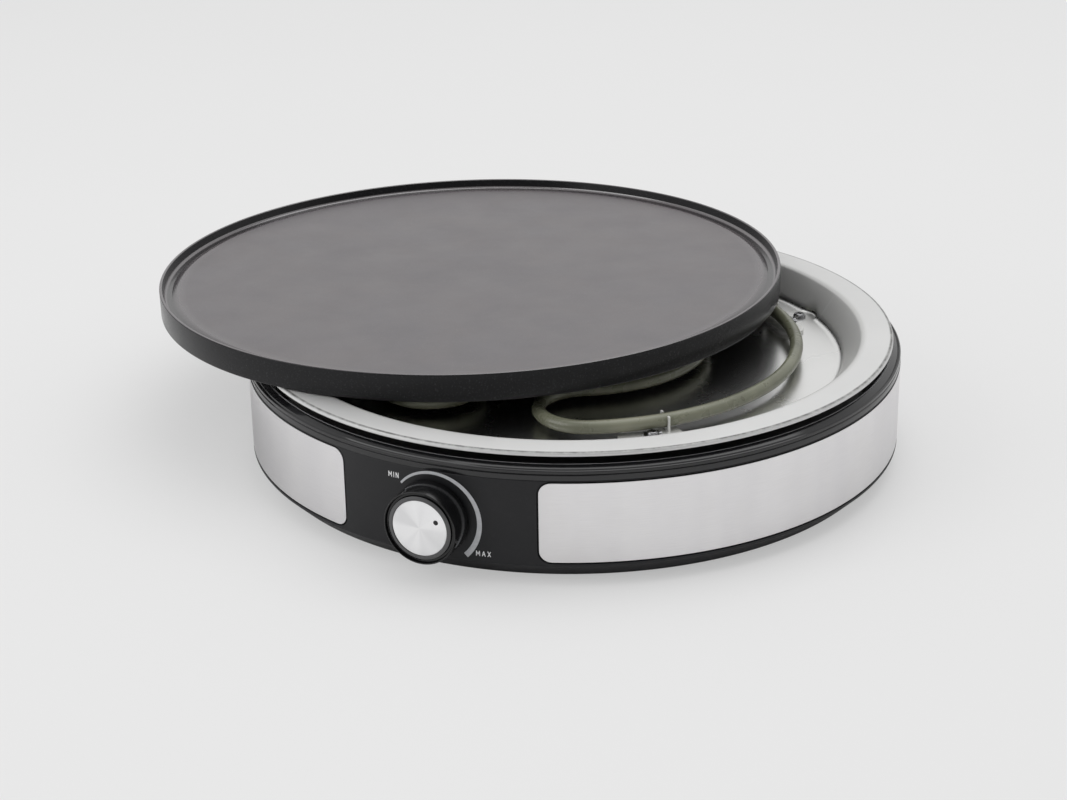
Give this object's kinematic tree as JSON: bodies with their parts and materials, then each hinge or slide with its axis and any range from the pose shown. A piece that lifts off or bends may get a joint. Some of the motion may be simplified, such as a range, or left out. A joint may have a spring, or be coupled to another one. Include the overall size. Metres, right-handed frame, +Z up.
{
  "type": "electric crepe maker",
  "caption": "Round electric crepe maker: black base with steel bands, thermostat knob, bright bowl with heating tube, and a loose rimmed baking plate laid askew on it.",
  "frame": {"origin": "centre of the round base, on the surface that its feet stand on", "axes": "+Z up, -Y towards the front with the knob, +X to the right seen from the front"},
  "size_m": [0.3941, 0.368, 0.0789],
  "materials": {
    "housing_black": "satin black moulded plastic",
    "ring_black": "glossier black moulded plastic",
    "knob_black": "satin black moulded plastic",
    "band_steel": "stainless steel, brushed along its length",
    "disc_metal": "spun-brushed aluminium",
    "bowl_metal": "satin bright aluminium sheet",
    "sheath": "olive grey oxidised heating tube",
    "plated_steel": "zinc-plated steel",
    "screw_steel": "dark plated steel",
    "cover_plate": "black painted sheet steel",
    "foot_rubber": "black rubber",
    "ceramic": "cream steatite ceramic, unglazed",
    "brass_parts": "plain turned brass",
    "strip_copper": "copper-coloured spring strip",
    "wire_brown": "brown silicone insulation",
    "wire_red": "red silicone insulation",
    "wire_blue": "blue silicone insulation",
    "wire_green": "green and yellow insulation",
    "plate_coating": "cast aluminium with a dark speckled non-stick coating"
  },
  "bodies": {
    "base": {"housing": "housing_black", "top_ring": "ring_black", "steel_band_right": "band_steel", "steel_band_left": "band_steel", "bottom_cover": "cover_plate", "cover_screws": "screw_steel", "feet": "foot_rubber", "reflector_bowl": "bowl_metal", "bowl_screws": "screw_steel", "bowl_spacers": "plated_steel", "heating_element": "sheath", "element_bushes": "ceramic", "element_tags": "plated_steel", "element_clips": "plated_steel", "clip_washers": "screw_steel", "clip_screws": "screw_steel", "thermostat_bracket": "plated_steel", "bracket_screws": "screw_steel", "thermostat_body": "ceramic", "thermostat_nut": "brass_parts", "bimetal_strip": "strip_copper", "terminal_block": "ceramic", "terminal_screws": "brass_parts", "thermal_fuse": "plated_steel", "fuse_clip": "plated_steel", "earth_stud": "brass_parts", "cord_gland": "foot_rubber", "cord_clamp": "housing_black", "clamp_screws": "screw_steel", "wire_live": "wire_brown", "wire_switched": "wire_red", "wire_neutral": "wire_blue", "wire_fused": "wire_blue", "wire_earth": "wire_green"},
    "plate": {"baking_plate": "plate_coating"},
    "knob": {"knob_body": "knob_black", "knob_disc": "disc_metal", "knob_pointer": "knob_black", "knob_spring": "plated_steel", "thermostat_spindle": "brass_parts"},
    "contact_arm": {"contact_arm": "strip_copper"}
  },
  "joints": [
    {"name": "plate_lift", "type": "slide", "parent": "base", "child": "plate", "axis": [0, 0, 1], "range_m": [0, 0.12]},
    {"name": "knob_turn", "type": "hinge", "parent": "base", "child": "knob", "pos_m": [0, -0.17, 0.0288], "axis": [0, 1, 0], "range_deg": [-110, 72]},
    {"name": "contact_arm_flex", "type": "hinge", "parent": "base", "child": "contact_arm", "pos_m": [0, -0.1345, 0.0208], "axis": [1, 0, 0], "range_deg": [-1.2, 0.8]}
  ],
  "couplings": [
    {"joint": "contact_arm_flex", "follows": "knob_turn", "ratio": 0.01}
  ]
}
